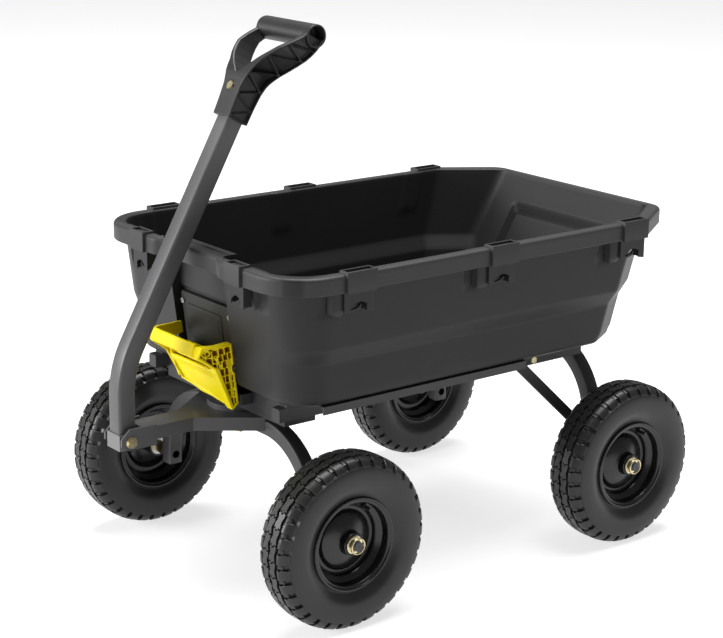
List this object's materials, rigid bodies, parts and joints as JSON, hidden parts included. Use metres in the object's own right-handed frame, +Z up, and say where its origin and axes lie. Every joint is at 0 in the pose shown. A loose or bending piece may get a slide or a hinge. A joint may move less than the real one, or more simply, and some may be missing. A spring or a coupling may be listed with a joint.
{
  "type": "garden cart",
  "caption": "Four-wheeled garden cart with a tipping moulded tub, a steered front axle, pneumatic tyres, a folding pull handle with a D-grip and a yellow quick-release lever.",
  "frame": {"origin": "on the ground, midway between the nose of the tongue and the rear lip of the tub, on the centre line", "axes": "+Z up, -Y to the front with the pull handle, +X to the left side of the cart"},
  "size_m": [0.746, 1.156, 1.0577],
  "materials": {
    "poly_black": "matte charcoal-black moulded polyethylene with a slight sheen",
    "frame_coat": "satin dark grey powder coat",
    "handle_coat": "satin mid grey powder coat",
    "grip_plastic": "satin charcoal moulded plastic",
    "lever_yellow": "bright yellow semi-gloss moulded plastic",
    "yellow_zinc": "yellow zinc plated steel",
    "plate_black": "satin black painted steel",
    "rim_black": "gloss black painted pressed steel",
    "tyre_rubber": "dark grey-black pneumatic tyre rubber",
    "black_rubber": "black rubber",
    "bright_steel": "plain steel",
    "bush_nylon": "black nylon"
  },
  "bodies": {
    "frame": {"left_rail": "frame_coat", "right_rail": "frame_coat", "front_crossmember": "frame_coat", "rear_arch": "frame_coat", "left_brace": "frame_coat", "right_brace": "frame_coat", "frame_bolts": "yellow_zinc", "hinge_brackets": "frame_coat", "hinge_rod": "yellow_zinc", "kingpin": "yellow_zinc", "upper_turntable": "frame_coat", "rear_stub_axles": "yellow_zinc", "rear_spacers": "yellow_zinc", "rear_washers": "yellow_zinc", "rear_cotter_rings": "yellow_zinc"},
    "tub": {"tub": "poly_black", "tub_runners": "frame_coat", "tub_side_rails": "frame_coat", "hinge_lugs": "frame_coat", "latch_plate": "plate_black", "latch_screws": "bright_steel", "lever_pin": "bright_steel", "lever_spring": "bright_steel"},
    "lever": {"release_lever": "lever_yellow", "latch_tooth": "yellow_zinc"},
    "steering": {"yoke": "frame_coat", "front_arch": "frame_coat", "lower_turntable": "frame_coat", "clevis_ears": "frame_coat", "pivot_bushes": "bush_nylon", "handle_bolt": "yellow_zinc", "front_stub_axles": "yellow_zinc", "front_spacers": "yellow_zinc", "front_washers": "yellow_zinc", "front_cotter_rings": "yellow_zinc"},
    "handle": {"handle_tube": "handle_coat", "handle_foot": "handle_coat", "grip": "grip_plastic", "grip_bolts": "yellow_zinc"},
    "front_left_wheel": {"front_left_tyre": "tyre_rubber", "front_left_rim": "rim_black", "front_left_hub": "rim_black", "front_left_bearings": "bright_steel", "front_left_valve": "black_rubber"},
    "front_right_wheel": {"front_right_tyre": "tyre_rubber", "front_right_rim": "rim_black", "front_right_hub": "rim_black", "front_right_bearings": "bright_steel", "front_right_valve": "black_rubber"},
    "rear_left_wheel": {"rear_left_tyre": "tyre_rubber", "rear_left_rim": "rim_black", "rear_left_hub": "rim_black", "rear_left_bearings": "bright_steel", "rear_left_valve": "black_rubber"},
    "rear_right_wheel": {"rear_right_tyre": "tyre_rubber", "rear_right_rim": "rim_black", "rear_right_hub": "rim_black", "rear_right_bearings": "bright_steel", "rear_right_valve": "black_rubber"}
  },
  "joints": [
    {"name": "tub_dump", "type": "hinge", "parent": "frame", "child": "tub", "pos_m": [0, 0.434, 0.355], "axis": [-1, 0, 0], "range_deg": [0, 80]},
    {"name": "release_lever_pull", "type": "hinge", "parent": "tub", "child": "lever", "pos_m": [0, -0.36899, 0.44093], "axis": [-1, 0, 0], "range_deg": [0, 8], "stiffness_Nm_per_rad": 2, "springref_deg": -17.19},
    {"name": "steering_turn", "type": "hinge", "parent": "frame", "child": "steering", "pos_m": [0, -0.298, 0.34], "axis": [0, 0, 1], "range_deg": [-18, 18]},
    {"name": "handle_swing", "type": "hinge", "parent": "steering", "child": "handle", "pos_m": [0, -0.558, 0.318], "axis": [1, 0, 0], "range_deg": [0, 125]},
    {"name": "front_left_wheel_spin", "type": "hinge", "parent": "steering", "child": "front_left_wheel", "pos_m": [0.328, -0.298, 0.165], "axis": [1, 0, 0], "continuous": true},
    {"name": "front_right_wheel_spin", "type": "hinge", "parent": "steering", "child": "front_right_wheel", "pos_m": [-0.328, -0.298, 0.165], "axis": [1, 0, 0], "continuous": true},
    {"name": "rear_left_wheel_spin", "type": "hinge", "parent": "frame", "child": "rear_left_wheel", "pos_m": [0.328, 0.405, 0.165], "axis": [1, 0, 0], "continuous": true},
    {"name": "rear_right_wheel_spin", "type": "hinge", "parent": "frame", "child": "rear_right_wheel", "pos_m": [-0.328, 0.405, 0.165], "axis": [1, 0, 0], "continuous": true}
  ]
}
